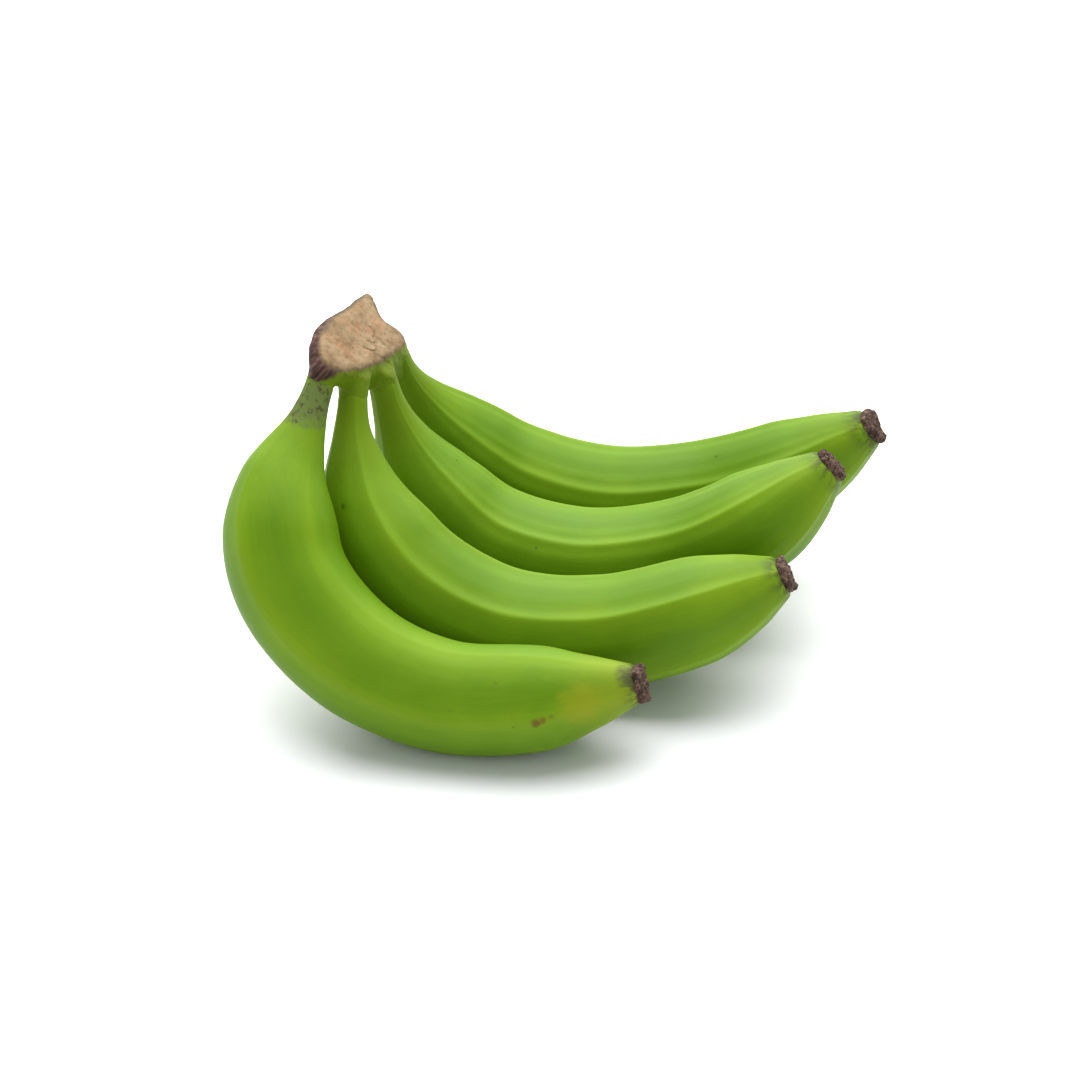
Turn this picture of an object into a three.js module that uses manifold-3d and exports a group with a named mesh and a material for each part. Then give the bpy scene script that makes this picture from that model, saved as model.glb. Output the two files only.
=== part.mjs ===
// A hand of four green plantains, joined at a cut crown, lying on the outer curve of its fingers.
// Millimetres, +Z up. The surface it lies on is z = 0 and the four tips point to +X.
// Finger 1 is the front one (lowest Y) and finger 4 the back one.
import * as THREE from "three";
import Module from "manifold-3d";

const wasm = await Module();
wasm.setup();

// Driving dimensions
const SIDES = 20;              // faces round a finger, four to each of its five ridges
const RINGS = 36;              // rings along a finger
const RIDGE = 0.04;            // how far a ridge stands out, as a share of the radius
const RIDGE_COUNT = 5;
const JOINT_GAP = 0.3;         // gap kept where two pieces meet
const SOCKET_GROWTH = 1.6 * JOINT_GAP;  // a socket's facets leave a little less than that
const SCAR_LENGTH = 3.4;       // dried flower remnant at the tip
const SCAR_RADIUS = 6.4;
const SCAR_SIDES = 15;
const SCAR_LAYERS = [[0, 0.9], [0.3, 1.02], [0.75, 1], [1, 0.86], [0.82, 0.5]];  // depth, width
const SCAR_LUMPS = [0.02, 0.06];   // unevenness of its foot and of the rest, as shares of the radius
const STUB_END = 0.066;        // share of a finger's length that belongs to the crown as its stub
const STUB_FLARE = 1.3;        // how much wider a stub is where it runs into the crown
const STUB_SIDES = 16;
const STUB_STEPS = 5;
const NECK_OVERLAP = 0.004;    // share of the length by which a neck starts inside its socket

// Radius along a finger as a share of half its thickness: slim neck, full belly, blunt tip.
const PROFILE = [
  [0.00, 0.25], [0.03, 0.24], [0.06, 0.235], [0.09, 0.26], [0.12, 0.33], [0.15, 0.45],
  [0.22, 0.74], [0.30, 0.92], [0.42, 0.97], [0.58, 0.94], [0.72, 0.91], [0.84, 0.87],
  [0.93, 0.62], [0.965, 0.44], [1.00, 0.27],
];

// Each finger: belly thickness, where it is fuller or slimmer than the profile (share of the length,
// reach, gain), roll of its ridges (degrees), colour, and its axis from crown to tip.
const FINGERS = [
  { thick: 41.9, swell: [[0.11, 0.05, 0.06], [0.25, 0.08, 0.04], [0.93, 0.08, -0.13]], roll: 11,
    color: 0x7da636, axis: [
    [-71.6, -80, 108], [-78.9, -94.5, 91.5], [-87.5, -110.5, 72.2], [-85, -128.5, 50.3],
    [-64, -144.3, 29.5], [-34, -153.3, 18.7], [-1, -158.2, 20.8], [35.4, -161.2, 29.4]] },
  { thick: 42.9, swell: [[0.12, 0.05, 0.1]], roll: 32, color: 0x79a233, axis: [
    [-64, -72.5, 99.5], [-64.6, -85.8, 77.1], [-59.5, -97.6, 55.1], [-43.5, -108.3, 35.1],
    [-14.5, -116.2, 21], [19, -122.3, 21.6], [51, -126.3, 32.5], [85.2, -124.8, 48.8]] },
  { thick: 42.3, swell: [[0.09, 0.05, 0.12]], roll: 7, color: 0x74a030, axis: [
    [-56.8, -62, 98.5], [-52.6, -63.5, 76.5], [-42, -66.5, 50.5], [-21, -71, 28],
    [12, -76.5, 19.9], [47.5, -83, 27.9], [76, -91, 47], [102.9, -86.5, 69.7]] },
  { thick: 42.3, swell: [], roll: 0, color: 0x70992f, axis: [
    [-53.8, -49.5, 99.3], [-47.6, -39.8, 74.3], [-37, -33.1, 52.3], [-13, -29.1, 29.3],
    [23.5, -31.1, 19.1], [61, -38.6, 26.8], [93, -52.6, 46.5], [120, -56.6, 67.3]] },
];

// Crown: the stub the fingers grow from, with one slanted cut face. Its outline lies in that face,
// long way S, across W, and its sides fan out along the necks of the first and the last finger.
const FACE_CENTER = new THREE.Vector3(-62, -62, 105.5);
const FACE_S = new THREE.Vector3(0.078, 0.994, 0.078).normalize();
const FACE_W = new THREE.Vector3(-0.741, 0.0055, 0.671).normalize();
const FAN = [new THREE.Vector3(-0.45, -0.59, -0.67), new THREE.Vector3(0.21, 0.34, -0.92)];
const FAN_SPAN = [-20, 22];
const CROWN_OUTLINE = [
  [-24.5, 5.5], [-10, -6], [3, -12.6], [19, -17], [19.5, -6], [28, 0.8],
  [21.5, 4], [11.4, 7.6], [-1.5, 13], [-12, 14.4], [-20, 13.5], [-26, 10.5],
];
const CROWN_POINTS = 30;
const WALL_GROWTH = 1.6;        // slanted walls need more growth than the gap alone
const CROWN_FALL = [0.7, 1.2];  // its depth at the first and the last finger, as shares
// Depth under the cut face, and there the outline's shares of its width on the hollow side of the
// fingers, of its width on the outer side, and of its length.
const CROWN_LAYERS = [
  [-1, 0.96, 0.96, 0.98], [1.5, 1.01, 1.05, 1.01], [5, 1.03, 1.2, 1.01],
  [11, 0.88, 1.16, 0.94], [17, 0.6, 0.85, 0.82],
];
const STUB_DEPTH = 2.5;        // how far under the cut face the stubs' tops lie

const { clamp, degToRad, lerp, smoothstep } = THREE.MathUtils;

// Smooth interpolation through [x, y] knots that never overshoots.
function through(knots, x) {
  const d = knots.slice(1).map((k, i) => (k[1] - knots[i][1]) / (k[0] - knots[i][0]));
  const slope = knots.map((k, i) => {
    if (i === 0) return d[0];
    if (i === knots.length - 1) return d[i - 1];
    return d[i - 1] * d[i] <= 0 ? 0 : (2 * d[i - 1] * d[i]) / (d[i - 1] + d[i]);
  });
  let i = 0;
  while (i < knots.length - 2 && x > knots[i + 1][0]) i += 1;
  const h = knots[i + 1][0] - knots[i][0];
  const u = (x - knots[i][0]) / h;
  const [a, b] = [knots[i][1], knots[i + 1][1]];
  return a * (1 + 2 * u) * (1 - u) ** 2 + slope[i] * h * u * (1 - u) ** 2
    + b * u * u * (3 - 2 * u) + slope[i + 1] * h * u * u * (u - 1);
}

// Closed solid through rings of equal point count, each end closed by a fan to its centre.
function loft(rings) {
  const n = rings[0].length;
  const centre = (ring) => ring.reduce((s, p) => s.add(p), new THREE.Vector3()).divideScalar(n);
  const points = [...rings.flat(), centre(rings[0]), centre(rings[rings.length - 1])];
  const [first, last] = [points.length - 2, points.length - 1];
  const tri = [];
  for (let r = 0; r < rings.length - 1; r += 1) {
    for (let k = 0; k < n; k += 1) {
      const [a, b] = [r * n + k, r * n + ((k + 1) % n)];
      tri.push(a, b, a + n, b, b + n, a + n);
    }
  }
  for (let k = 0; k < n; k += 1) {
    const end = (rings.length - 1) * n;
    tri.push(first, (k + 1) % n, k, last, end + k, end + ((k + 1) % n));
  }
  let volume = 0;
  for (let i = 0; i < tri.length; i += 3) {
    const [a, b, c] = [points[tri[i]], points[tri[i + 1]], points[tri[i + 2]]];
    volume += a.dot(new THREE.Vector3().crossVectors(b, c));
  }
  if (volume < 0) for (let i = 0; i < tri.length; i += 3) [tri[i], tri[i + 1]] = [tri[i + 1], tri[i]];
  return new wasm.Manifold(new wasm.Mesh({
    numProp: 3,
    vertProperties: new Float32Array(points.flatMap((p) => [p.x, p.y, p.z])),
    triVerts: new Uint32Array(tri),
  }));
}

// Frames along a finger's axis: the inner direction points to the hollow side of the bend.
function fingerFrames(axis) {
  const pts = axis.map((p) => new THREE.Vector3(...p));
  const curve = new THREE.CatmullRomCurve3(pts, false, "centripetal");
  curve.arcLengthDivisions = 400;
  const [start, middle, end] = [pts[0], pts[4], pts[pts.length - 1]];
  const plane = middle.clone().sub(start).cross(end.clone().sub(start)).normalize();
  const at = (t) => {
    const tangent = curve.getTangentAt(t);
    const side = plane.clone().addScaledVector(tangent, -plane.dot(tangent)).normalize();
    const inner = side.clone().cross(tangent);
    return { center: curve.getPointAt(t), tangent, side, inner };
  };
  return { at, length: curve.getLength() };
}

// A ring of points round a frame's centre; shape gives the share of the radius at an angle.
function ringAt(frame, radius, count, shape) {
  return Array.from({ length: count }, (_, k) => {
    const angle = (2 * Math.PI * k) / count;
    const r = radius * shape(angle);
    return frame.center.clone()
      .addScaledVector(frame.inner, r * Math.cos(angle))
      .addScaledVector(frame.side, r * Math.sin(angle));
  });
}

// Radius at a share of the length, ridges left out.
function fingerRadius({ thick, swell }, t) {
  const gain = swell.reduce((sum, [place, reach, share]) => (
    sum + share * Math.exp(-(((t - place) / reach) ** 2))), 1);
  return (thick / 2) * through(PROFILE, t) * gain;
}

// A finger from its socket in the crown to the gap before its scar.
function finger(spec) {
  const { roll, axis } = spec;
  const { at, length } = fingerFrames(axis);
  const start = STUB_END - NECK_OVERLAP;
  const stop = 1 - (SCAR_LENGTH + JOINT_GAP) / length;
  const turn = degToRad(roll);
  const [c, s] = [Math.cos(turn), Math.sin(turn)];
  const rings = [];
  for (let i = 0; i <= RINGS; i += 1) {
    const t = start + (stop - start) * (i / RINGS);
    // Ridges fade out on the neck and towards the tip.
    const fade = smoothstep(t, 0.1, 0.3) * (1 - 0.6 * smoothstep(t, 0.8, 1));
    const { center, inner, side } = at(t);
    const spun = {
      center,
      inner: inner.clone().multiplyScalar(c).addScaledVector(side, s),
      side: side.clone().multiplyScalar(c).addScaledVector(inner, -s),
    };
    const ridged = (angle) => 1 - RIDGE * fade * Math.cos(RIDGE_COUNT * angle);
    rings.push(ringAt(spun, fingerRadius(spec, t), SIDES, ridged));
  }
  return loft(rings);
}

// Shrivelled disc where the flower fell off: a lumpy rim, dished in the middle.
function blossomScar({ axis }, number) {
  const { at, length } = fingerFrames(axis);
  const base = at(1 - SCAR_LENGTH / length);
  const rings = SCAR_LAYERS.map(([depth, width], i) => {
    const center = base.center.clone().addScaledVector(base.tangent, depth * SCAR_LENGTH);
    const lump = SCAR_LUMPS[Math.min(i, 1)];
    const lumps = (a) => 1 + lump * Math.sin(3 * a + number) * Math.cos(2 * a);
    return ringAt({ ...base, center }, SCAR_RADIUS * width, SCAR_SIDES, lumps);
  });
  return loft(rings);
}

// The short length of a neck that has grown together with the crown.
function stub(spec, grow) {
  const { at, length } = fingerFrames(spec.axis);
  const end = STUB_END + grow / length;
  return loft(Array.from({ length: STUB_STEPS + 1 }, (_, i) => {
    const t = end * (i / STUB_STEPS);
    const flare = STUB_FLARE * (1 - i / STUB_STEPS) ** 1.5;
    return ringAt(at(t), fingerRadius(spec, t) + flare + grow, STUB_SIDES, () => 1);
  }));
}

// The crown, or with grow the room it takes up in the necks.
function crown(grow) {
  const outline = new THREE.CatmullRomCurve3(
    CROWN_OUTLINE.map(([s, w]) => new THREE.Vector3(s, w, 0)), true, "centripetal");
  // The outline grows square to itself.
  const points = outline.getSpacedPoints(CROWN_POINTS).slice(0, CROWN_POINTS).map((p, i, all) => {
    const [before, after] = [all[(i + all.length - 1) % all.length], all[(i + 1) % all.length]];
    const run = after.clone().sub(before).normalize();
    const out = WALL_GROWTH * grow;
    return new THREE.Vector3(p.x + out * run.y, p.y - out * run.x, 0);
  });
  const layer = (depth, hollow, outer, length) => points.map((p) => {
    // Line down the length of the outline that its layers narrow towards.
    const middle = clamp(-3 - 0.45 * p.x, -12, 6);
    const s = p.x * length;
    const w = middle + (p.y - middle) * (p.y < middle ? hollow : outer);
    const share = clamp((p.x - FAN_SPAN[0]) / (FAN_SPAN[1] - FAN_SPAN[0]), 0, 1);
    const way = FAN[0].clone().lerp(FAN[1], share).normalize();
    return FACE_CENTER.clone().addScaledVector(FACE_S, s).addScaledVector(FACE_W, w)
      .addScaledVector(way, depth * lerp(...CROWN_FALL, share));
  });
  const rings = CROWN_LAYERS.map(([depth, hollow, outer, length], i) => {
    const below = i === 0 ? -2 * grow : i === CROWN_LAYERS.length - 1 ? 2 * grow : 0;
    return layer(depth + below, hollow, outer, length);
  });
  const out = FACE_S.clone().cross(FACE_W).normalize();
  if (out.z < 0) out.negate();
  const cut = (solid, depth) => solid.trimByPlane(out.clone().negate().toArray(),
    depth - grow - out.dot(FACE_CENTER));
  const slab = cut(loft(rings), 0);
  return FINGERS.reduce((solid, spec) => solid.add(cut(stub(spec, grow), STUB_DEPTH)), slab);
}

// A named mesh with its own material from a solid.
function meshOf(solid, name, color, roughness) {
  const { vertProperties, triVerts, numProp } = solid.getMesh();
  const position = new Float32Array((vertProperties.length / numProp) * 3);
  for (let i = 0; i < position.length / 3; i += 1) {
    for (let k = 0; k < 3; k += 1) position[i * 3 + k] = vertProperties[i * numProp + k];
  }
  const geometry = new THREE.BufferGeometry();
  geometry.setAttribute("position", new THREE.BufferAttribute(position, 3));
  geometry.setIndex(new THREE.BufferAttribute(new Uint32Array(triVerts), 1));
  geometry.computeVertexNormals();
  const material = new THREE.MeshStandardMaterial({ color, roughness, metalness: 0 });
  const mesh = new THREE.Mesh(geometry, material);
  mesh.name = name;
  return mesh;
}

// The surface the hand lies on: each belly keeps the small flat it is cut to.
const SURFACE = [[-200, -250], [200, -250], [200, 50], [-200, 50]];
const below = loft([-20, 0].map((z) => SURFACE.map(([x, y]) => new THREE.Vector3(x, y, z))));

const hand = new THREE.Group();
hand.name = "plantain_hand";
hand.add(meshOf(crown(0), "crown", 0xb79a68, 0.9));
const socket = crown(SOCKET_GROWTH);
FINGERS.forEach((spec, i) => {
  const fruit = finger(spec).subtract(socket).subtract(below);
  hand.add(meshOf(fruit, `finger_${i + 1}`, spec.color, 0.42));
  hand.add(meshOf(blossomScar(spec, i), `blossom_scar_${i + 1}`, 0x3a2f26, 0.95));
});

// Origin at the middle of the footprint box, on the surface.
hand.updateMatrixWorld(true);
const box = new THREE.Box3().setFromObject(hand, true);
hand.position.set(-(box.min.x + box.max.x) / 2, -(box.min.y + box.max.y) / 2, 0);

export default hand;
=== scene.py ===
"""A hand of four green plantains on a cut crown, lying on the outer curve of its fingers."""

import math

import bmesh
import bpy
from mathutils import Matrix, Vector
from mathutils.kdtree import KDTree


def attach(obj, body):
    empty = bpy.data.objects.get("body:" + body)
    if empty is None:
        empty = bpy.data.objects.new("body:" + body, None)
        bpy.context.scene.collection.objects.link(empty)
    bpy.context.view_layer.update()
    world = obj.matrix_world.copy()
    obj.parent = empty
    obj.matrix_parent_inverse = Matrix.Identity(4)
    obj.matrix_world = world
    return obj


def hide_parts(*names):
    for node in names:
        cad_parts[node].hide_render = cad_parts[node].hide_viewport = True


bl_info = {
    "name": "Plantain hand",
    "version": (1, 0, 0),
    "blender": (4, 5, 0),
    "location": "View3D > Sidebar > Plantain",
    "description": "Green plantain fingers, their cut crown and their blossom scars",
    "category": "Object",
}

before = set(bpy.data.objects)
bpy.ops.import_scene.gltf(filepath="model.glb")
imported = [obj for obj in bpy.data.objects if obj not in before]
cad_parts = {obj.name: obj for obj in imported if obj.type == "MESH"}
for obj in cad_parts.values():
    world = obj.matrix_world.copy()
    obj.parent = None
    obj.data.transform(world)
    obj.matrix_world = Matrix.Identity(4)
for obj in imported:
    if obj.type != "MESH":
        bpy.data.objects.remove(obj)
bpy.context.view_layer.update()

MM = 0.001
# From the fruit's own frame to the middle of its footprint, in millimetres.
SHIFT = Vector((-7.8366, 92.0617, 0.0))

# Each finger's belly thickness, how crisp its ridges are, where it is fuller or slimmer than the
# profile (share of the length, reach, gain), the roll of its ridges (degrees), how yellow its tip
# is, and its axis from crown to tip (millimetres).
FINGERS = {
    "finger_1": {"thick": 41.9, "edge": 0.35, "roll": 11, "ripe": 0.7,
                 "swell": ((0.11, 0.05, 0.06), (0.25, 0.08, 0.04), (0.93, 0.08, -0.13)),
                 "axis": ((-71.6, -80, 108), (-78.9, -94.5, 91.5), (-87.5, -110.5, 72.2),
                          (-85, -128.5, 50.3), (-64, -144.3, 29.5), (-34, -153.3, 18.7),
                          (-1, -158.2, 20.8), (35.4, -161.2, 29.4))},
    "finger_2": {"thick": 42.9, "edge": 0.85, "roll": 32, "ripe": 0.2,
                 "swell": ((0.12, 0.05, 0.1),),
                 "axis": ((-64, -72.5, 99.5), (-64.6, -85.8, 77.1), (-59.5, -97.6, 55.1),
                          (-43.5, -108.3, 35.1), (-14.5, -116.2, 21), (19, -122.3, 21.6),
                          (51, -126.3, 32.5), (85.2, -124.8, 48.8))},
    "finger_3": {"thick": 42.3, "edge": 0.9, "roll": 7, "ripe": 0.2,
                 "swell": ((0.09, 0.05, 0.12),),
                 "axis": ((-56.8, -62, 98.5), (-52.6, -63.5, 76.5), (-42, -66.5, 50.5),
                          (-21, -71, 28), (12, -76.5, 19.9), (47.5, -83, 27.9), (76, -91, 47),
                          (102.9, -86.5, 69.7))},
    "finger_4": {"thick": 42.3, "edge": 0.8, "roll": 0, "ripe": 0.2, "swell": (),
                 "axis": ((-53.8, -49.5, 99.3), (-47.6, -39.8, 74.3), (-37, -33.1, 52.3),
                          (-13, -29.1, 29.3), (23.5, -31.1, 19.1), (61, -38.6, 26.8),
                          (93, -52.6, 46.5), (120, -56.6, 67.3))},
}
# Radius along a finger as a share of half its thickness.
PROFILE = (
    (0.00, 0.25), (0.03, 0.24), (0.06, 0.235), (0.09, 0.26), (0.12, 0.33), (0.15, 0.45),
    (0.22, 0.74), (0.30, 0.92), (0.42, 0.97), (0.58, 0.94), (0.72, 0.91), (0.84, 0.87),
    (0.93, 0.62), (0.965, 0.44), (1.00, 0.27),
)
RIDGES = 5
SIDES = 10 * RIDGES  # corners round a finger
RINGS = 56
# How far the ten corners of a ridge stand out, as shares of its height, from the middle of one face
# to the next. A ridge is sharper than the face between two ridges is hollow.
RIDGE_FORM = (-0.62, -0.59, -0.45, -0.14, 0.42, 1.15, 0.42, -0.14, -0.45, -0.59)
LIP_LENGTH = 0.4     # the peel turns in round the scar: how long that lip is (millimetres)
LIP_WIDTH = 0.82     # and how wide, as a share of the peel there
PEEL_SWELLS = 28.0   # size of the peel's swells (millimetres)
PEEL_DIMPLES = 7.0   # size of its dimples, and their depth as a share of the swells'
DIMPLE_SHARE = 0.16
TINT_STEP = 0.05     # each finger is this much deeper in colour than the one before it

STUB_END = 0.066     # share of a finger's length that has grown together with the crown
STUB_FLARE = 1.3     # how much wider it is where it runs into the crown (millimetres)
STUB_SINK = 0.3      # how far it ends inside the neck that it closes on (millimetres)
STUB_SIDES = 20
STUB_STEPS = 6
STUB_REACH = 1.12    # how far the crown's stub runs, as a share of STUB_END
NECK_START = 0.6     # where the peel begins inside it, as the same share

SCAR_LENGTH = 3.4
SCAR_SIDES = 18
# Depth from the seam as a share of the length, and width as a share of the radius.
SCAR_LAYERS = ((-0.25, 0.8), (0.0, 0.95), (0.3, 1.02), (0.72, 1.0), (0.98, 0.86), (0.84, 0.52),
               (0.7, 0.2))
SCAR_RIM = (2, 3, 4)  # layers that the dried petals make uneven
SCAR_RELIEF = ((4.2, 2.6), (1.2, 1.0))  # its lumps: size and depth (millimetres)
PETAL_SIDES = 3
PETAL_LIFT = 0.12    # how far a petal stands out or in, as a share of the radius

# The crown's slanted cut face: its middle, long way, cross way and outline (millimetres).
FACE_CENTER = Vector((-62, -62, 105.5))
FACE_S = Vector((0.078, 0.994, 0.078)).normalized()
FACE_W = Vector((-0.741, 0.0055, 0.671)).normalized()
FAN = (Vector((-0.45, -0.59, -0.67)), Vector((0.21, 0.34, -0.92)))
FAN_SPAN = (-20, 22)
CROWN_OUTLINE = (
    (-24.5, 5.5), (-10, -6), (3, -12.6), (19, -17), (19.5, -6), (28, 0.8),
    (21.5, 4), (11.4, 7.6), (-1.5, 13), (-12, 14.4), (-20, 13.5), (-26, 10.5),
)
CROWN_POINTS = 40
# Depth under the cut face, and there the outline's shares of its width on the hollow side of the
# fingers, of its width on the outer side, and of its length.
CROWN_LAYERS = (
    (-0.2, 0.96, 0.96, 0.985), (0.8, 1.0, 1.01, 1.0), (3, 1.03, 1.15, 1.01),
    (5.5, 1.03, 1.27, 1.01), (8.5, 0.97, 1.28, 0.98), (11.5, 0.87, 1.22, 0.94),
    (14, 0.75, 1.08, 0.88), (16.5, 0.6, 0.88, 0.82),
)
CROWN_FALL = (0.7, 1.2)   # how deep the crown reaches at the first and the last finger, as shares
STUB_DEPTH = 2.5     # how far under the cut face the stubs' tops lie
VOXEL = 0.8          # size of the grid that joins slab and stubs into one skin (millimetres)
SMOOTHING = 8        # passes that soften that skin
CUT_EDGE = (-4.0, -1.0)   # depth under the cut face over which husk turns to cut flesh
# Lumps of the crown: size (millimetres), depth as a share of the cut face relief, and where.
CROWN_RELIEF = ((6.0, 1.0, "cut"), (1.6, 0.35, "cut"), (8.0, 0.6, "husk"))
RIM_POINTS = 400     # points on the outline that the edge of the cut face is measured from
RIM_REACH = (0.7, 1.9)    # how far from the outline the dark edge begins and ends to fade
RIM_FADE = (-1.5, 2)      # and where it fades in, along the way up across the face
RIM_UP = (0.61, 0.57)

FLOOR_SIZE = 6.0     # metres, as the light's size and place
KEY_PLACE = Vector((0.02, 0.62, 1.08))
KEY_SIZE = 2.3
FLOOR_WHITE = (0.86, 0.865, 0.88, 1)
ROOM_WHITE = (0.97, 0.985, 1.0, 1)
SENSOR = 36          # width of the camera's film (millimetres)
CLIP = 0.01          # nothing nearer than this is drawn (metres)

START = 10.0         # radius that a disc starts with (millimetres)
LEAST = 1e-7         # turns and scales below this are left out


# Numbers and lines
def smoothstep(low, high, x):
    """0 below low, 1 above high, smooth between."""
    u = min(max((x - low) / (high - low), 0.0), 1.0)
    return u * u * (3 - 2 * u)


def through(knots, x):
    """Smooth value at x through (x, y) knots, never overshooting them."""
    rise = [(b[1] - a[1]) / (b[0] - a[0]) for a, b in zip(knots, knots[1:])]
    slope = [rise[0]]
    for a, b in zip(rise, rise[1:]):
        slope.append(0.0 if a * b <= 0 else 2 * a * b / (a + b))
    slope.append(rise[-1])
    i = 0
    while i < len(knots) - 2 and x > knots[i + 1][0]:
        i += 1
    (x0, y0), (x1, y1) = knots[i], knots[i + 1]
    h = x1 - x0
    u = (x - x0) / h
    return (y0 * (1 + 2 * u) * (1 - u) ** 2 + slope[i] * h * u * (1 - u) ** 2
            + y1 * u * u * (3 - 2 * u) + slope[i + 1] * h * u * u * (u - 1))


def spline(points, closed=False, steps=40):
    """Centripetal Catmull-Rom line through the points, as a dense list."""
    pts = [Vector(p) for p in points]
    if closed:
        pts = [pts[-1]] + pts + pts[:2]
    else:
        pts = [pts[0] * 2 - pts[1]] + pts + [pts[-1] * 2 - pts[-2]]
    line = []
    for p0, p1, p2, p3 in zip(pts, pts[1:], pts[2:], pts[3:]):
        d0, d1, d2 = ((b - a).length ** 0.5 for a, b in ((p0, p1), (p1, p2), (p2, p3)))
        t1 = ((p1 - p0) / d0 - (p2 - p0) / (d0 + d1) + (p2 - p1) / d1) * d1
        t2 = ((p2 - p1) / d1 - (p3 - p1) / (d1 + d2) + (p3 - p2) / d2) * d1
        for k in range(steps):
            u = k / steps
            line.append(p1 + t1 * u + (-3 * p1 + 3 * p2 - 2 * t1 - t2) * u ** 2
                        + (2 * p1 - 2 * p2 + t1 + t2) * u ** 3)
    line.append(pts[-2].copy())
    return line


def along(line):
    """A function of a share of the line's length that gives the point there, and the length."""
    reach = [0.0]
    for a, b in zip(line, line[1:]):
        reach.append(reach[-1] + (b - a).length)

    def point(share):
        want = share * reach[-1]
        i = 0
        while i < len(reach) - 2 and reach[i + 1] < want:
            i += 1
        span = reach[i + 1] - reach[i]
        return line[i].lerp(line[i + 1], (want - reach[i]) / span if span else 0.0)

    return point, reach[-1]


class FingerAxis:
    """A finger's centre line, with the hollow side and the flat side of its bend."""

    def __init__(self, spec):
        pts = [Vector(p) + SHIFT for p in spec["axis"]]
        self.point, self.length = along(spline(pts))
        self.plane = (pts[4] - pts[0]).cross(pts[-1] - pts[0]).normalized()

    def frame(self, t):
        """Centre (mm) and a turn whose columns are the inner side, the other side, the way on."""
        step = 0.002
        low, high = max(t - step, 0.0), min(t + step, 1.0)
        ahead = (self.point(high) - self.point(low)).normalized()
        side = (self.plane - ahead * self.plane.dot(ahead)).normalized()
        inner = side.cross(ahead)
        return self.point(t), Matrix((inner, side, ahead)).transposed()


def finger_radius(spec, t):
    """Radius in millimetres at a share of the length, ridges left out."""
    gain = 1 + sum(share * math.exp(-((t - place) / reach) ** 2)
                   for place, reach, share in spec["swell"])
    return spec["thick"] / 2 * through(PROFILE, t) * gain


# Modelling with operators
def clear_selection():
    """Leave edit mode and select nothing."""
    if bpy.context.object and bpy.context.object.mode != "OBJECT":
        bpy.ops.object.mode_set(mode="OBJECT")
    bpy.ops.object.select_all(action="DESELECT")


def start_disc(name, sides, radius=START * MM):
    """A filled circle at the origin, open in edit mode, with all of it selected."""
    clear_selection()
    bpy.ops.mesh.primitive_circle_add(vertices=sides, radius=radius, fill_type="NGON")
    piece = bpy.context.object
    piece.name = name
    piece.data.name = name
    bpy.ops.object.mode_set(mode="EDIT")
    bpy.ops.mesh.select_mode(type="VERT")
    bpy.ops.mesh.select_all(action="SELECT")
    return piece


def turn_selection(turn, centre):
    """Turn what is selected about centre by a 3 x 3 turn, one world axis after the other."""
    for axis, angle in zip("XYZ", turn.to_euler("XYZ")):
        if abs(angle) > LEAST:
            bpy.ops.transform.rotate(value=-angle, orient_axis=axis, orient_type="GLOBAL",
                                     center_override=centre)


def scale_selection(factor, centre):
    """Scale what is selected about centre."""
    if abs(factor - 1) > LEAST:
        bpy.ops.transform.resize(value=(factor,) * 3, center_override=centre)


def pick(piece, numbers):
    """Select only the vertices of these numbers."""
    wanted = set(numbers)
    mesh = bmesh.from_edit_mesh(piece.data)
    mesh.verts.ensure_lookup_table()
    for part in (mesh.faces, mesh.edges):
        for item in part:
            item.select = False
    for vertex in mesh.verts:
        vertex.select = vertex.index in wanted
    mesh.select_flush(True)
    bmesh.update_edit_mesh(piece.data)


def add_modifier(piece, kind, **settings):
    """Add a modifier with settings and apply it."""
    modifier = piece.modifiers.new(kind.title(), kind)
    for key, value in settings.items():
        setattr(modifier, key, value)
    bpy.context.view_layer.objects.active = piece
    bpy.ops.object.modifier_apply(modifier=modifier.name)


def roughen(piece, size, strength, detail=2, group=""):
    """Displace along the normals by soft cloud noise of a size in metres."""
    texture = bpy.data.textures.new(f"{piece.name}_lumps_{size:.4f}", "CLOUDS")
    texture.noise_scale = size
    texture.noise_depth = detail
    settings = {"texture": texture, "strength": strength, "mid_level": 0.5,
                "texture_coords": "LOCAL"}
    if group:
        settings["vertex_group"] = group
    add_modifier(piece, "DISPLACE", **settings)


def finish_piece(piece, slot, *nodes):
    """Point faces outwards, smooth them, hang the piece under the root and hide the parts of
    model.glb that it stands for.
    """
    clear_selection()
    piece.select_set(True)
    bpy.context.view_layer.objects.active = piece
    bpy.ops.object.mode_set(mode="EDIT")
    bpy.ops.mesh.select_all(action="SELECT")
    bpy.ops.mesh.normals_make_consistent(inside=False)
    bpy.ops.object.mode_set(mode="OBJECT")
    bpy.ops.object.shade_smooth()
    bpy.ops.object.transform_apply(location=True, rotation=True, scale=True)
    piece.select_set(False)
    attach(piece, "root")
    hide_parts(*nodes)


def store(piece, name, kind, values):
    """Keep a value for each vertex as a named attribute."""
    layer = piece.data.attributes.new(name, kind, "POINT")
    field = "vector" if kind == "FLOAT_VECTOR" else "value"
    for item, value in zip(layer.data, values):
        setattr(item, field, value)


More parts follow.
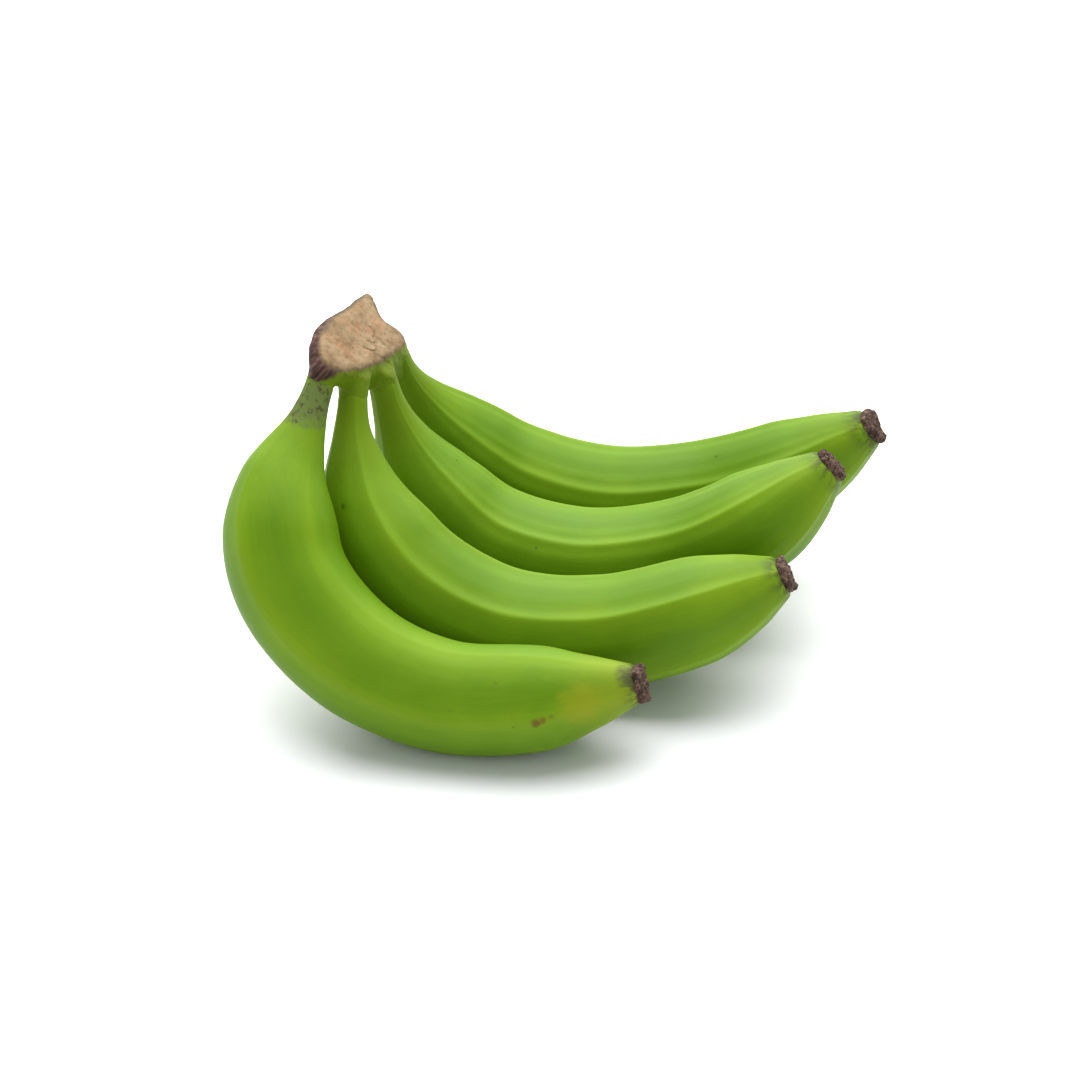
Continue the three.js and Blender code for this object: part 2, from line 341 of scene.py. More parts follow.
# Shader expressions
class Node:
    """A shader socket that joins Math nodes to itself when it is used in an expression."""

    tree = None

    def __init__(self, socket):
        self.socket = socket

    @classmethod
    def make(cls, kind, settings=None, out=0, **sockets):
        """Add a node, set it up, then fill its sockets by name or number."""
        node = cls.tree.nodes.new(kind)
        for key, value in (settings or {}).items():
            if key == "stops":
                ramp = node.color_ramp
                while len(ramp.elements) < len(value):
                    ramp.elements.new(0.5)
                for stop, (place, colour) in zip(ramp.elements, value):
                    stop.position, stop.color = place, colour
            else:
                setattr(node, key, value)
        for key, value in sockets.items():
            target = node.inputs[int(key[1:])] if key[0] == "_" else node.inputs[key]
            cls.link(target, value)
        return cls(node.outputs[out])

    @classmethod
    def link(cls, target, value):
        """Join a value to a socket, or write it there when it is a plain one."""
        if isinstance(value, Node):
            cls.tree.links.new(value.socket, target)
        else:
            target.default_value = value

    def math(self, operation, *others, clamp=False):
        """A Math node on this value and the others."""
        values = {f"_{i}": v for i, v in enumerate((self, *others))}
        return Node.make("ShaderNodeMath", {"operation": operation, "use_clamp": clamp}, **values)

    def __add__(self, other):
        return self.math("ADD", other)

    def __mul__(self, other):
        return self.math("MULTIPLY", other)

    def __sub__(self, other):
        return self.math("SUBTRACT", other)

    def __rsub__(self, other):
        return Node.make("ShaderNodeMath", {"operation": "SUBTRACT"}, _0=other, _1=self)

    def __pow__(self, other):
        return self.math("POWER", other)

    __radd__ = __add__
    __rmul__ = __mul__

    def clamp(self):
        """Held between 0 and 1."""
        return self.math("ADD", 0.0, clamp=True)

    def step(self, low, high):
        """0 at low, 1 at high, smooth between; low may be the larger."""
        return Node.make("ShaderNodeMapRange", {"interpolation_type": "SMOOTHSTEP"},
                         Value=self, _1=low, _2=high)


def noise(where, scale, detail=3.0, roughness=0.55, distortion=0.0):
    """Soft noise from 0 to 1."""
    return Node.make("ShaderNodeTexNoise", None, Vector=where, Scale=scale, Detail=detail,
                     Roughness=roughness, Distortion=distortion)


def stretch(where, x, y, z, offset=(0, 0, 0)):
    """Scale a place differently along its three ways."""
    return Node.make("ShaderNodeMapping", None, Vector=where, Scale=(x, y, z), Location=offset)


def split(where):
    """The three numbers of a place."""
    first = Node.make("ShaderNodeSeparateXYZ", None, Vector=where)
    node = first.socket.node
    return [Node(node.outputs[i]) for i in range(3)]


def blend(factor, low, high):
    """Mix two colours."""
    return Node.make("ShaderNodeMix", {"data_type": "RGBA"}, out=2, _0=factor, _6=low, _7=high)


def distance_from(where, place):
    """Distance of a place from a point, in metres."""
    return Node.make("ShaderNodeVectorMath", {"operation": "DISTANCE"}, out=1, _0=where, _1=place)


def srgb(red, green, blue):
    """A colour from its screen values, 0 to 255, as the shader wants it."""
    def linear(value):
        value /= 255
        return value / 12.92 if value <= 0.04045 else ((value + 0.055) / 1.055) ** 2.4
    return (linear(red), linear(green), linear(blue), 1.0)


def new_material(name):
    """An empty node material with its shader; expressions go into it from here on."""
    material = bpy.data.materials.new(name)
    material.use_nodes = True
    Node.tree = material.node_tree
    return material, material.node_tree.nodes["Principled BSDF"]


def dress(piece, material):
    """Give a piece its one material."""
    piece.data.materials.clear()
    piece.data.materials.append(material)


def attribute(name, out=1):
    """A stored attribute of the piece: out 1 is its vector, out 2 its number."""
    return Node.make("ShaderNodeAttribute", {"attribute_name": name}, out=out)


# Colours of small things, which stay as they are.
SEAM = srgb(62, 62, 34)
SPECK = srgb(74, 66, 30)
SCRATCH = srgb(112, 104, 36)
DULL_PATCH = srgb(88, 98, 62)
PIT = srgb(64, 56, 40)
BLOOM_GREY = srgb(150, 170, 118)
PINK_FLESH = srgb(158, 114, 84)
PORE = srgb(98, 74, 46)
RIM_BROWN = srgb(98, 80, 58)
RIM_SKIN = srgb(92, 80, 68)
# Painted shade for the creases of the crown's folds.
FOLD_SHADE = srgb(104, 80, 50)
GREEN_EDGE = srgb(96, 92, 20)
CUT_STOPS = ((0.28, srgb(104, 82, 56)), (0.45, srgb(136, 114, 84)),
             (0.6, srgb(150, 128, 98)), (0.8, srgb(172, 152, 124)))
HUSK_STOPS = ((0.3, srgb(40, 24, 22)), (0.5, srgb(74, 50, 45)), (0.72, srgb(120, 94, 82)))
SCAR_STOPS = ((0.3, srgb(26, 18, 16)), (0.46, srgb(58, 42, 36)),
              (0.56, srgb(104, 80, 66)), (0.7, srgb(164, 144, 128)))


# Finishes
def peel_material(name, colors, marks, bloom, neck_patch, tint, ripeness):
    """Waxy green peel: streaks along the finger, a painted highlight on the ridges and painted
    shade on the faces between them, olive neck, yellowed tip, marks.
    """
    material, shader = new_material(name)
    place = Node.make("ShaderNodeTexCoord", None, out=3)
    unbent = attribute("unbent")
    share = attribute("share", out=2)
    across, aside, _ = split(unbent)
    angle = aside.math("ARCTAN2", across)
    ridge = (angle * RIDGES).math("COSINE") * -0.5 + 0.5
    belly = share.step(0.16, 0.3)

    streaks = noise(stretch(unbent, 900, 900, 22), 1.0, 4.0, 0.6)
    clouds = noise(place, 34.0, 3.0, 0.5)
    fine = noise(stretch(unbent, 2600, 2600, 420), 1.0, 2.0, 0.6)
    light, mid, deep = (tuple(c) for c in (colors.light, colors.mid, colors.deep))
    tone = blend((clouds.step(0.25, 0.8) * 0.4 + streaks.step(0.2, 0.8) * 0.2).clamp(), mid, light)
    # Painted highlight: each ridge crest is painted paler, for the light it catches.
    tone = blend(((ridge ** 8.0) * belly * 0.4).clamp(), tone, light)
    # Painted shade: the faces between the ridges are darkened towards deep green, most in their
    # middles.
    tone = blend((((1.0 - ridge) ** 2.0) * belly * 0.3).clamp(), tone, deep)
    tone = blend((fine.step(0.58, 0.8) * 0.12).clamp(), tone, deep)
    tone = blend(tint, tone, deep)

    # The neck is duller and olive, more so along its streaks.
    neck = share.step(0.2, 0.08)
    olive = tuple(colors.neck)
    tone = blend((neck * 0.6 + neck * streaks.step(0.4, 0.7) * 0.25).clamp(), tone, olive)
    # Towards the scar the peel yellows, then darkens right at the seam.
    ripe = share.step(0.86, 0.985) * (0.35 + noise(place, 120.0, 3.0) * 0.5)
    tone = blend((ripe * ripeness).clamp(), tone, tuple(colors.ripe))
    crust = noise(stretch(unbent, 500, 500, 120), 1.0, 3.0).step(0.34, 0.62)
    seam = share.step(0.955, 0.992) * crust
    tone = blend((seam * 0.8).clamp(), tone, SEAM)

    # Small corky specks and long hairline scratches.
    cells = Node.make("ShaderNodeTexVoronoi", {"feature": "F1"}, Vector=stretch(unbent, 1, 1, 0.6),
                      Scale=210.0, Randomness=1.0)
    kept = noise(place, 60.0, 2.0).step(0.6, 0.68)
    specks = cells.step(0.13, 0.06) * kept
    tone = blend((specks * 0.75).clamp(), tone, SPECK)
    hair = noise(stretch(unbent, 700, 700, 16, (3.1, 1.7, 0.4)), 1.0, 2.0, 0.5)
    scraped = noise(place, 40.0, 2.0).step(0.56, 0.66)
    hair = (hair - 0.5).math("ABSOLUTE").step(0.006, 0.001) * scraped
    tone = blend((hair * belly * 0.45).clamp(), tone, SCRATCH)

    for spot, reach, stain, strength in marks:
        near = distance_from(place, spot)
        rough_edge = noise(stretch(unbent, 900, 900, 160), 1.0, 3.0, 0.6)
        mark = (near + (rough_edge - 0.5) * reach * 0.9).step(reach, reach * 0.35)
        tone = blend((mark * strength).clamp(), tone, stain)
    dull = None
    if neck_patch:
        spot, reach = neck_patch
        near = distance_from(place, spot) + (noise(place, 260.0, 4.0, 0.65) - 0.5) * reach * 1.1
        dull = near.step(reach, reach * 0.5)
        tone = blend((dull * 0.72).clamp(), tone, DULL_PATCH)
        pits = noise(place, 420.0, 4.0, 0.7).step(0.52, 0.62) * dull
        tone = blend((pits * 0.8).clamp(), tone, PIT)
    if bloom:
        spot, reach = bloom
        near = distance_from(place, spot) + (noise(place, 300.0, 4.0, 0.6) - 0.5) * reach
        tone = blend((near.step(reach, reach * 0.3) * 0.4).clamp(), tone, BLOOM_GREY)

    shine = 0.54 + (clouds - 0.5) * 0.14 + (streaks - 0.5) * 0.10 + neck * 0.18 + specks * 0.3
    if dull:
        shine = shine + dull * 0.25
    height = (streaks * 0.5 + fine * 0.25 + specks * 0.8
              + noise(stretch(unbent, 220, 220, 60), 1.0, 2.0) * 1.2)
    bump = Node.make("ShaderNodeBump", None, Strength=0.32, Distance=0.00018, Height=height)
    Node.link(shader.inputs["Base Color"], tone)
    Node.link(shader.inputs["Roughness"], shine.clamp())
    Node.link(shader.inputs["Normal"], bump)
    shader.inputs["Specular IOR Level"].default_value = 0.15
    shader.inputs["Subsurface Weight"].default_value = 0.05
    shader.inputs["Subsurface Radius"].default_value = (0.25, 0.6, 0.05)
    shader.inputs["Subsurface Scale"].default_value = 0.004
    return material


def crown_material(colors):
    """Tan fibrous cut flesh on the face, dry purplish-brown skin outside, green skin below."""
    material, shader = new_material("cut_crown")
    place = Node.make("ShaderNodeTexCoord", None, out=3)
    normal = FACE_S.cross(FACE_W).normalized()
    middle = (FACE_CENTER + SHIFT) * MM
    offset = Node.make("ShaderNodeVectorMath", {"operation": "SUBTRACT"}, _0=place, _1=middle)

    def toward(way):
        return Node.make("ShaderNodeVectorMath", {"operation": "DOT_PRODUCT"}, out=1, _0=offset,
                         _1=tuple(way))

    depth, length, width = toward(normal), toward(FACE_S), toward(FACE_W)
    grain = Node.make("ShaderNodeCombineXYZ", None, X=length, Y=width, Z=depth)
    ragged = noise(place, 700.0, 4.0, 0.6)
    cut = (depth + (ragged - 0.5) * 0.0012).step(-0.0018, -0.0008)

    fibres = noise(stretch(grain, 260, 620, 500), 1.0, 4.0, 0.65, 0.4)
    blotch = noise(place, 130.0, 3.0, 0.6)
    pores = noise(place, 1800.0, 3.0, 0.7)
    tan = Node.make("ShaderNodeValToRGB", {"stops": CUT_STOPS}, Fac=fibres * 0.25 + blotch * 0.75)
    pink = noise(place, 90.0, 3.0, 0.6).step(0.5, 0.7)
    tan = blend((pink * 0.5).clamp(), tan, PINK_FLESH)
    tan = blend((pores.step(0.58, 0.72) * 0.35).clamp(), tan, PORE)
    rim = (depth + (blotch - 0.5) * 0.0016).step(-0.0002, -0.0011)
    tan = blend((rim * 0.65).clamp(), tan, RIM_BROWN)
    edge_skin = attribute("rim", 2) * (0.5 + blotch)
    tan = blend((edge_skin * 0.8).clamp(), tan, RIM_SKIN)
    # Folds where the flesh dried and shrank, at the lower corner of the face, their creases painted
    # darker brown as shade.
    spot, reach = CREASES
    corner = distance_from(place, spot).step(reach, reach * 0.5)
    folds = (noise(place, 105.0, 2.0, 0.5) - 0.5).math("ABSOLUTE").step(0.075, 0.005) * corner
    # Painted shade along the folds' creases.
    tan = blend((folds * 0.42).clamp(), tan, FOLD_SHADE)

    dry_side = (width + depth * 0.9 + (noise(place, 220.0, 3.0) - 0.5) * 0.008).step(0.0012, 0.0040)
    wrinkle = noise(stretch(grain, 420, 900, 90), 1.0, 4.0, 0.65)
    husk = Node.make("ShaderNodeValToRGB", {"stops": HUSK_STOPS}, Fac=wrinkle)
    green = blend(wrinkle.step(0.35, 0.7) * 0.4, tuple(colors.neck), tuple(colors.mid))
    edge = (depth + (ragged - 0.5) * 0.002).step(-0.0042, -0.0022)
    green = blend((edge * 0.3).clamp(), green, GREEN_EDGE)
    skin = blend(dry_side, green, husk)
    tone = blend(cut, skin, tan)

    height = fibres * 0.5 + pores * 0.5 - folds * 1.6 + wrinkle * (1.0 - cut) * 1.2
    bump = Node.make("ShaderNodeBump", None, Strength=0.7, Distance=0.0005, Height=height)
    Node.link(shader.inputs["Base Color"], tone)
    Node.link(shader.inputs["Roughness"], (0.6 + cut * 0.28 + dry_side * 0.15).clamp())
    Node.link(shader.inputs["Normal"], bump)
    shader.inputs["Specular IOR Level"].default_value = 0.14
    return material


def scar_material():
    """Dry, dark, flaky remnant of the flower, paler in patches."""
    material, shader = new_material("blossom_scar")
    place = Node.make("ShaderNodeTexCoord", None, out=3)
    flakes = noise(place, 420.0, 4.0, 0.7, 0.6)
    crumbs = noise(place, 1500.0, 3.0, 0.7)
    tone = Node.make("ShaderNodeValToRGB", {"stops": SCAR_STOPS},
                     Fac=flakes * 0.6 + crumbs * 0.4)
    bump = Node.make("ShaderNodeBump", None, Strength=0.9, Distance=0.0006,
                     Height=flakes + crumbs * 0.6)
    Node.link(shader.inputs["Base Color"], tone)
    Node.link(shader.inputs["Normal"], bump)
    shader.inputs["Roughness"].default_value = 0.85
    shader.inputs["Specular IOR Level"].default_value = 0.25
    return material


# What a user would change
def length_mm(name, description, default):
    """A length that a user can change, given in millimetres."""
    return bpy.props.FloatProperty(name=name, description=description, default=default * MM,
                                   subtype="DISTANCE", unit="LENGTH")


def colour(name, description, default):
    """A colour that a user can change."""
    return bpy.props.FloatVectorProperty(name=name, description=description, default=default,
                                         size=4, min=0, max=1, subtype="COLOR")


class PlantainShape(bpy.types.PropertyGroup):
    """Shape of the fingers, the crown and the scars."""

    ridge: bpy.props.FloatProperty(
        name="Ridge height", description="How far a ridge stands out, as a share of the radius",
        default=0.066, min=0, max=0.08, subtype="FACTOR")
    crease: bpy.props.FloatProperty(
        name="Ridge crispness", description="How sharp a ridge stays under the subdivision",
        default=0.3, min=0, max=1, subtype="FACTOR")
    detail: bpy.props.IntProperty(
        name="Peel detail", description="Subdivision levels of the peel", default=2, min=0, max=3)
    lump: length_mm("Peel unevenness", "How far the peel swells and dips", 0.5)
    fibre: length_mm("Cut face relief", "How rough the crown's cut face is", 1.3)
    scar_radius: length_mm("Scar radius", "Half the width of a blossom scar", 6.4)


class PlantainColours(bpy.types.PropertyGroup):
    """Colours of the peel."""

    # The light colour gives the peel's paler patches and also the painted highlight on the ridges.
    light: colour("Light peel", "Yellow-green of the lit ridges", srgb(126, 158, 20))
    mid: colour("Peel", "Main green of the peel", srgb(92, 130, 4))
    # The deep colour also paints the shade on the faces between the ridges.
    deep: colour("Deep peel", "Darkest green in the peel's pattern", srgb(60, 102, 2))
    neck: colour("Neck", "Dull olive of the neck", srgb(100, 122, 8))
    ripe: colour("Ripening tip", "Yellow tone next to the scar", srgb(142, 148, 36))


class PlantainStage(bpy.types.PropertyGroup):
    """Floor, light and camera."""

    camera_height: length_mm("Camera height", "Height of the camera above the floor", 580.1)
    camera_back: length_mm(
        "Camera distance", "How far the camera stands in front of the origin", 830.44)
    tilt: bpy.props.FloatProperty(
        name="Camera tilt", description="Angle of the view below the horizon",
        default=math.radians(33), subtype="ANGLE", unit="ROTATION")
    lens: bpy.props.FloatProperty(
        name="Lens", description="Focal length", default=94.23, min=20, subtype="DISTANCE_CAMERA",
        unit="CAMERA")
    key: bpy.props.FloatProperty(
        name="Key light", description="Power of the large soft light above", default=53.0, min=0,
        subtype="POWER", unit="POWER")
    sky: bpy.props.FloatProperty(
        name="Room light", description="Strength of the even white light all round", default=0.6,
        min=0, subtype="FACTOR")


# The pieces and the stage
class PLANTAIN_OT_fingers(bpy.types.Operator):
    """Model the four green fingers"""

    bl_idname = "plantain.fingers"
    bl_label = "Fingers"

    def model(self, name, spec, shape):
        """One finger: a disc carried along its axis, a ring at a time."""
        axis = FingerAxis(spec)
        stop = 1 - SCAR_LENGTH / axis.length
        begin = STUB_END * NECK_START
        piece = start_disc(f"{name}_peel", SIDES, spec["thick"] / 2 * MM)
        roll = Matrix.Rotation(math.radians(spec["roll"]), 3, "Z")
        around = [math.atan2(v.co.y, v.co.x) for v in bmesh.from_edit_mesh(piece.data).verts]
        part = [RIDGE_FORM[round(a / (2 * math.pi) * SIDES) % len(RIDGE_FORM)] for a in around]
        groups = {}
        for k, value in enumerate(part):
            groups.setdefault(value, []).append(k)

        shares = [begin + (stop - begin) * i / RINGS for i in range(RINGS + 1)]
        at, now, width = Vector((0, 0, 0)), Matrix.Identity(3), spec["thick"] / 2
        tall = 0.0
        kept = []
        for i, t in enumerate(shares):
            centre, turn = axis.frame(t)
            centre, turn = centre * MM, turn @ roll
            if i:
                bpy.ops.mesh.extrude_region_move(TRANSFORM_OT_translate={"value": centre - at})
            else:
                bpy.ops.transform.translate(value=centre)
            turn_selection(turn @ now.inverted(), centre)
            radius = finger_radius(spec, t)
            scale_selection(radius / width, centre)
            # Ridges are lower on the neck and towards the tip.
            fade = (0.5 + 0.5 * smoothstep(0.06, 0.22, t)) * (1 - 0.5 * smoothstep(0.86, 1, t))
            height = shape.ridge * fade * spec["edge"]
            for value, members in groups.items():
                pick(piece, [i * SIDES + k for k in members])
                scale_selection((1 + value * height) / (1 + value * tall), centre)
            pick(piece, range(i * SIDES, (i + 1) * SIDES))
            at, now, width, tall = centre, turn, radius, height
            kept += [(radius * MM, a, t) for a in around]
        # The peel turns in a little round the scar.
        bpy.ops.mesh.extrude_region_move(
            TRANSFORM_OT_translate={"value": now.col[2] * (LIP_LENGTH * MM)})
        scale_selection(LIP_WIDTH, at)
        last = [(r * LIP_WIDTH, a, 1.0) for r, a, _ in kept[-SIDES:]]
        # Creases keep the ridges crisp where the peel is subdivided.
        bpy.ops.mesh.select_all(action="DESELECT")
        crests = [k for k, value in enumerate(part) if value == max(RIDGE_FORM)]
        pick(piece, [i * SIDES + k for i in range(RINGS + 1) for k in crests])
        bpy.ops.transform.edge_crease(value=shape.crease)
        bpy.ops.object.mode_set(mode="OBJECT")
        if len(piece.data.vertices) != len(kept) + SIDES:
            raise RuntimeError(f"{name} has {len(piece.data.vertices)} corners")
        kept += last
        store(piece, "unbent", "FLOAT_VECTOR",
              [(r * math.cos(a), r * math.sin(a), t * axis.length * MM) for r, a, t in kept])
        store(piece, "share", "FLOAT", [t for _, _, t in kept])
        bpy.context.view_layer.objects.active = piece
        add_modifier(piece, "SUBSURF", levels=shape.detail, render_levels=shape.detail)
        roughen(piece, PEEL_SWELLS * MM, shape.lump)
        roughen(piece, PEEL_DIMPLES * MM, shape.lump * DIMPLE_SHARE)
        # Where the belly would sink into the surface it is pressed flat.
        bpy.ops.object.mode_set(mode="EDIT")
        low = [v.index for v in bmesh.from_edit_mesh(piece.data).verts if v.co.z < 0]
        if low:
            pick(piece, low)
            bpy.ops.transform.resize(value=(1, 1, 0), center_override=(0, 0, 0))
        bpy.ops.object.mode_set(mode="OBJECT")
        return piece

    def execute(self, context):
        scene = context.scene
        for number, (name, spec) in enumerate(FINGERS.items(), 1):
            piece = self.model(name, spec, scene.plantain_shape)
            dress(piece, peel_material(
                f"peel_{number}", scene.plantain_colours, MARKS.get(name, ()), BLOOM.get(name),
                NECK_PATCH.get(name), TINT_STEP * number, spec["ripe"]))
            finish_piece(piece, "peel", name)
        return {"FINISHED"}


class PLANTAIN_OT_crown(bpy.types.Operator):
    """Model the cut crown that joins the fingers"""

    bl_idname = "plantain.crown"
    bl_label = "Crown"

    def layer(self, points, depth, hollow, outer, length):
        """The outline at a depth under the cut face, in metres."""
        ring = []
        for p in points:
            # The layers narrow towards this line down the length of the face.
            middle = min(max(-3 - 0.45 * p.x, -12), 6)
            s = p.x * length
            w = middle + (p.y - middle) * (hollow if p.y < middle else outer)
            share = min(max((p.x - FAN_SPAN[0]) / (FAN_SPAN[1] - FAN_SPAN[0]), 0), 1)
            way = FAN[0].lerp(FAN[1], share).normalized()
            fall = depth * (CROWN_FALL[0] + (CROWN_FALL[1] - CROWN_FALL[0]) * share)
            ring.append((FACE_CENTER + SHIFT + FACE_S * s + FACE_W * w + way * fall) * MM)
        return ring

    def move_ring(self, piece, first, places):
        """Pull each corner of the newest ring to its place."""
        for k, place in enumerate(places):
            number = first + k
            mesh = bmesh.from_edit_mesh(piece.data)
            mesh.verts.ensure_lookup_table()
            now = mesh.verts[number].co.copy()
            pick(piece, [number])
            bpy.ops.transform.translate(value=place - now)
        pick(piece, range(first, first + len(places)))

    def stub(self, name, spec):
        """The start of a neck, cut off level with the cut face."""
        axis = FingerAxis(spec)
        piece = start_disc(f"{name}_stub", STUB_SIDES)
        at, now, width = Vector((0, 0, 0)), Matrix.Identity(3), START
        for i in range(STUB_STEPS + 1):
            t = STUB_END * STUB_REACH * i / STUB_STEPS
            centre, turn = axis.frame(t)
            centre = centre * MM
            if i:
                bpy.ops.mesh.extrude_region_move(TRANSFORM_OT_translate={"value": centre - at})
            else:
                bpy.ops.transform.translate(value=centre)
            turn_selection(turn @ now.inverted(), centre)
            # It closes on the neck and ends just inside it.
            flare = (STUB_FLARE + STUB_SINK) * max(1 - i / (STUB_STEPS - 1), 0) ** 1.4
            radius = finger_radius(spec, t) - STUB_SINK + flare
            scale_selection(radius / width, centre)
            at, now, width = centre, turn, radius
        bpy.ops.mesh.select_all(action="SELECT")
        bpy.ops.mesh.normals_make_consistent(inside=False)
        normal = FACE_S.cross(FACE_W).normalized()
        bpy.ops.mesh.bisect(plane_co=(FACE_CENTER + SHIFT - normal * STUB_DEPTH) * MM,
                            plane_no=normal, use_fill=True, clear_outer=True)
        bpy.ops.object.mode_set(mode="OBJECT")
        return piece

    def execute(self, context):
        shape = context.scene.plantain_shape
        point, _ = along(spline([(s, w, 0) for s, w in CROWN_OUTLINE], closed=True))
        points = [point(k / CROWN_POINTS) for k in range(CROWN_POINTS)]
        piece = start_disc("crown_stub", CROWN_POINTS)
        for i, layer in enumerate(CROWN_LAYERS):
            if i:
                bpy.ops.mesh.extrude_region_move(TRANSFORM_OT_translate={"value": (0, 0, MM)})
            self.move_ring(piece, i * CROWN_POINTS, self.layer(points, *layer))
        bpy.ops.mesh.select_all(action="SELECT")
        bpy.ops.mesh.normals_make_consistent(inside=False)
        bpy.ops.object.mode_set(mode="OBJECT")
        stubs = [self.stub(name, spec) for name, spec in FINGERS.items()]
        clear_selection()
        for part in (*stubs, piece):
            part.select_set(True)
        bpy.context.view_layer.objects.active = piece
        bpy.ops.object.join()
        add_modifier(piece, "REMESH", mode="VOXEL", voxel_size=VOXEL * MM)
        add_modifier(piece, "SMOOTH", factor=0.5, iterations=SMOOTHING)

        normal = FACE_S.cross(FACE_W).normalized()
        cut = piece.vertex_groups.new(name="cut")
        husk = piece.vertex_groups.new(name="husk")
        middle = (FACE_CENTER + SHIFT) * MM
        for vertex in piece.data.vertices:
            depth = (vertex.co - middle).dot(normal) / MM
            weight = smoothstep(*CUT_EDGE, depth)
            cut.add([vertex.index], weight, "REPLACE")
            husk.add([vertex.index], 1 - weight, "REPLACE")
        add_modifier(piece, "SUBSURF", levels=1, render_levels=1)
        for size, share, group in CROWN_RELIEF:
            roughen(piece, size * MM, shape.fibre * share, 3, group)
        self.mark_rim(piece, [point(k / RIM_POINTS) for k in range(RIM_POINTS)])
        dress(piece, crown_material(context.scene.plantain_colours))
        finish_piece(piece, "crown", "crown")
        return {"FINISHED"}

    def mark_rim(self, piece, outline):
        """Keep how near each point is to the cut face's edge, on the edge's upper half."""
        tree = KDTree(len(outline))
        for k, (s, w, _) in enumerate(outline):
            tree.insert((s, w, 0), k)
        tree.balance()
        near = []
        for vertex in piece.data.vertices:
            offset = vertex.co / MM - FACE_CENTER - SHIFT
            s, w = offset.dot(FACE_S), offset.dot(FACE_W)
            away = tree.find((s, w, 0))[2]
            upper = smoothstep(*RIM_FADE, RIM_UP[0] * s + RIM_UP[1] * w)
            near.append((1 - smoothstep(*RIM_REACH, away)) * upper)
        store(piece, "rim", "FLOAT", near)


class PLANTAIN_OT_scars(bpy.types.Operator):
    """Model the dry blossom scars at the tips"""

    bl_idname = "plantain.scars"
    bl_label = "Blossom scars"

    def execute(self, context):
        shape = context.scene.plantain_shape
        material = scar_material()
        for number, (name, spec) in enumerate(FINGERS.items()):
            axis = FingerAxis(spec)
            base, turn = axis.frame(1 - SCAR_LENGTH / axis.length)
            ahead = turn.col[2]
            piece = start_disc(f"scar_{number + 1}", SCAR_SIDES, shape.scar_radius)
            start = base * MM
            bpy.ops.transform.translate(value=start)
            turn_selection(turn, start)
            at, width = start, 1.0
            for i, (depth, share) in enumerate(SCAR_LAYERS):
                centre = start + ahead * depth * SCAR_LENGTH * MM
                if i:
                    bpy.ops.mesh.extrude_region_move(TRANSFORM_OT_translate={"value": centre - at})
                else:
                    bpy.ops.transform.translate(value=centre - at)
                scale_selection(share / width, centre)
                if i in SCAR_RIM:
                    for petal in range(SCAR_SIDES // PETAL_SIDES):
                        corner = (petal * PETAL_SIDES + number + i) % SCAR_SIDES
                        pick(piece, [i * SCAR_SIDES + corner])
                        scale_selection(1 + (PETAL_LIFT if petal % 2 else -PETAL_LIFT), centre)
                    pick(piece, range(i * SCAR_SIDES, (i + 1) * SCAR_SIDES))
                at, width = centre, share
            bpy.ops.object.mode_set(mode="OBJECT")
            add_modifier(piece, "SUBSURF", levels=3, render_levels=3)
            for size, depth in SCAR_RELIEF:
                roughen(piece, size * MM, depth * MM, 3)
            dress(piece, material)
            finish_piece(piece, "scar", f"blossom_scar_{number + 1}")
        return {"FINISHED"}


class PLANTAIN_OT_stage(bpy.types.Operator):
    """Lay the floor, hang the light and set the camera"""

    bl_idname = "plantain.stage"
    bl_label = "Stage"

    def execute(self, context):
        scene = context.scene
        stage = scene.plantain_stage
        clear_selection()
        bpy.ops.mesh.primitive_plane_add(size=FLOOR_SIZE, location=(0, 0, 0))
        floor = context.object
        floor.name = "floor"
        material, shader = new_material("floor")
        shader.inputs["Base Color"].default_value = FLOOR_WHITE
        shader.inputs["Roughness"].default_value = 0.9
        shader.inputs["Specular IOR Level"].default_value = 0.1
        dress(floor, material)

        bpy.ops.object.light_add(type="AREA", location=KEY_PLACE)
        key = context.object
        key.name = "key_light"
        key.data.shape = "DISK"
        key.data.size = KEY_SIZE
        key.data.energy = stage.key
        # It points at the origin.
        key.rotation_euler = (-key.location).to_track_quat("-Z", "Y").to_euler()

        world = bpy.data.worlds.new("room")
        scene.world = world
        world.use_nodes = True
        back = world.node_tree.nodes["Background"]
        back.inputs["Color"].default_value = ROOM_WHITE
        back.inputs["Strength"].default_value = stage.sky

        bpy.ops.object.camera_add(
            location=(SHIFT.x * MM, -stage.camera_back, stage.camera_height),
            rotation=(math.pi / 2 - stage.tilt, 0, 0))
        camera = context.object
        camera.data.lens = stage.lens
        camera.data.sensor_width = SENSOR
        camera.data.clip_start = CLIP
        scene.camera = camera
        scene.view_settings.view_transform = "Standard"
        return {"FINISHED"}


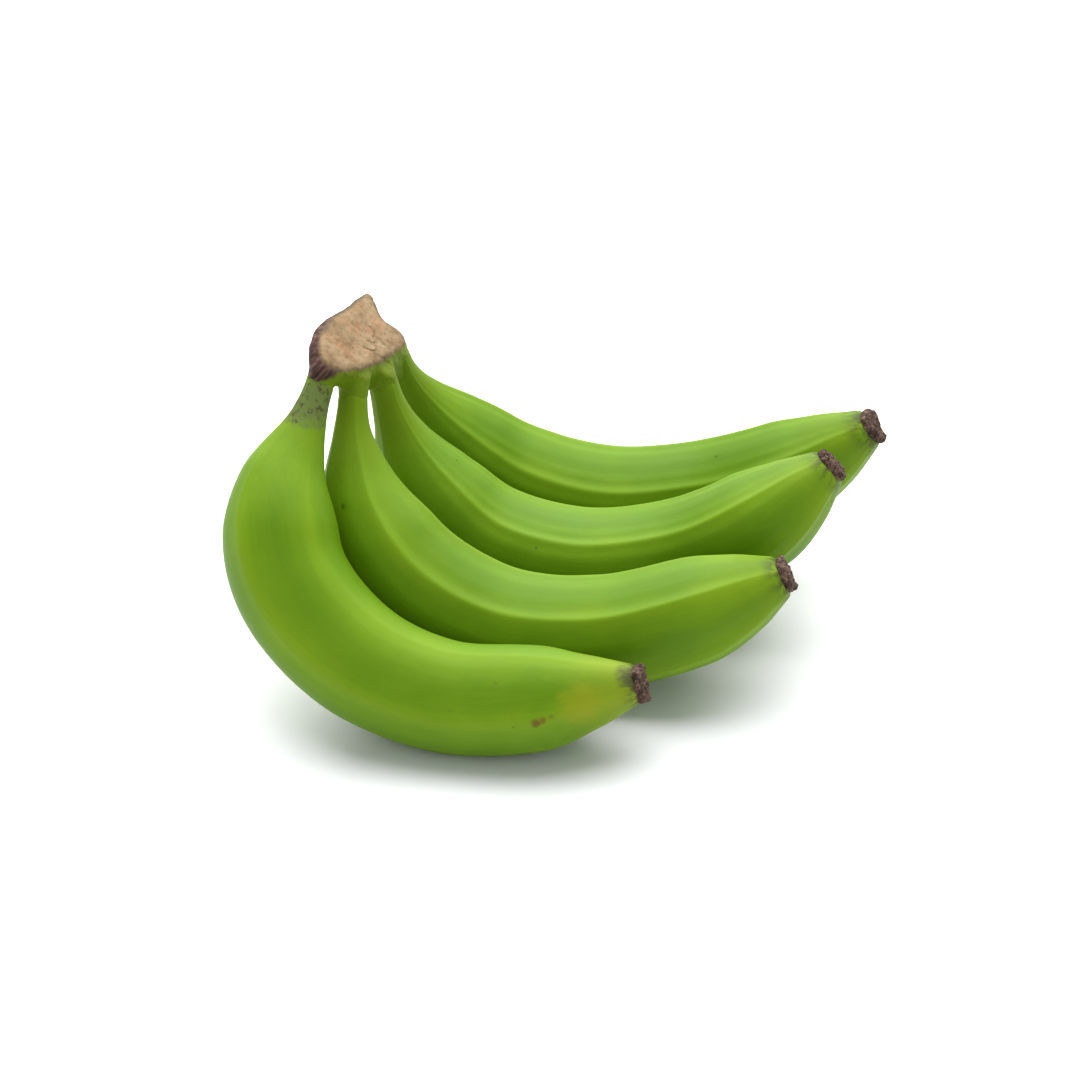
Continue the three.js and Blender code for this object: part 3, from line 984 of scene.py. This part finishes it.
class PLANTAIN_PT_panel(bpy.types.Panel):
    """The pieces of the hand and what can be changed on them"""

    bl_label = "Plantain hand"
    bl_idname = "PLANTAIN_PT_panel"
    bl_space_type = "VIEW_3D"
    bl_region_type = "UI"
    bl_category = "Plantain"

    def draw(self, context):
        column = self.layout.column()
        for group in ("plantain_shape", "plantain_colours", "plantain_stage"):
            owner = getattr(context.scene, group)
            for name in owner.__annotations__:
                column.prop(owner, name)
        for operator in OPERATORS:
            column.operator(operator.bl_idname)


OPERATORS = (PLANTAIN_OT_fingers, PLANTAIN_OT_crown, PLANTAIN_OT_scars, PLANTAIN_OT_stage)
GROUPS = {"plantain_shape": PlantainShape, "plantain_colours": PlantainColours,
          "plantain_stage": PlantainStage}
CLASSES = (*GROUPS.values(), *OPERATORS, PLANTAIN_PT_panel)

# Places on the fruit, in metres: middle, reach, colour and strength of each mark.
MARKS = {
    "finger_1": (
        (Vector((0.0060, -0.0822, 0.0290)), 0.0105, srgb(150, 146, 24), 0.42),
        (Vector((-0.0092, -0.0843, 0.0237)), 0.0021, srgb(98, 76, 20), 0.85),
        (Vector((-0.0069, -0.0843, 0.0247)), 0.0019, srgb(112, 84, 22), 0.8),
        (Vector((-0.0040, -0.0842, 0.0258)), 0.0016, srgb(112, 88, 24), 0.7),
        (Vector((0.0225, -0.0725, 0.0350)), 0.0068, srgb(62, 62, 40), 0.75)),
    "finger_2": ((Vector((-0.0756, -0.0165, 0.0650)), 0.0020, srgb(34, 30, 12), 0.9),),
}
# Middle and reach of the dull patch, the pale bloom and the folds of the cut face.
NECK_PATCH = {"finger_1": (Vector((-0.086, -0.002, 0.098)), 0.012)}
BLOOM = {"finger_3": (Vector((0.085, -0.004, 0.0775)), 0.0075)}
CREASES = ((FACE_CENTER + FACE_S - FACE_W * 7 + SHIFT) * MM, 0.011)


def register():
    for item in CLASSES:
        bpy.utils.register_class(item)
    for name, group in GROUPS.items():
        setattr(bpy.types.Scene, name, bpy.props.PointerProperty(type=group))


def unregister():
    for name in GROUPS:
        delattr(bpy.types.Scene, name)
    for item in reversed(CLASSES):
        bpy.utils.unregister_class(item)


def main():
    register()
    bpy.ops.plantain.fingers()
    bpy.ops.plantain.crown()
    bpy.ops.plantain.scars()
    bpy.ops.plantain.stage()


if __name__ == "__main__":
    main()
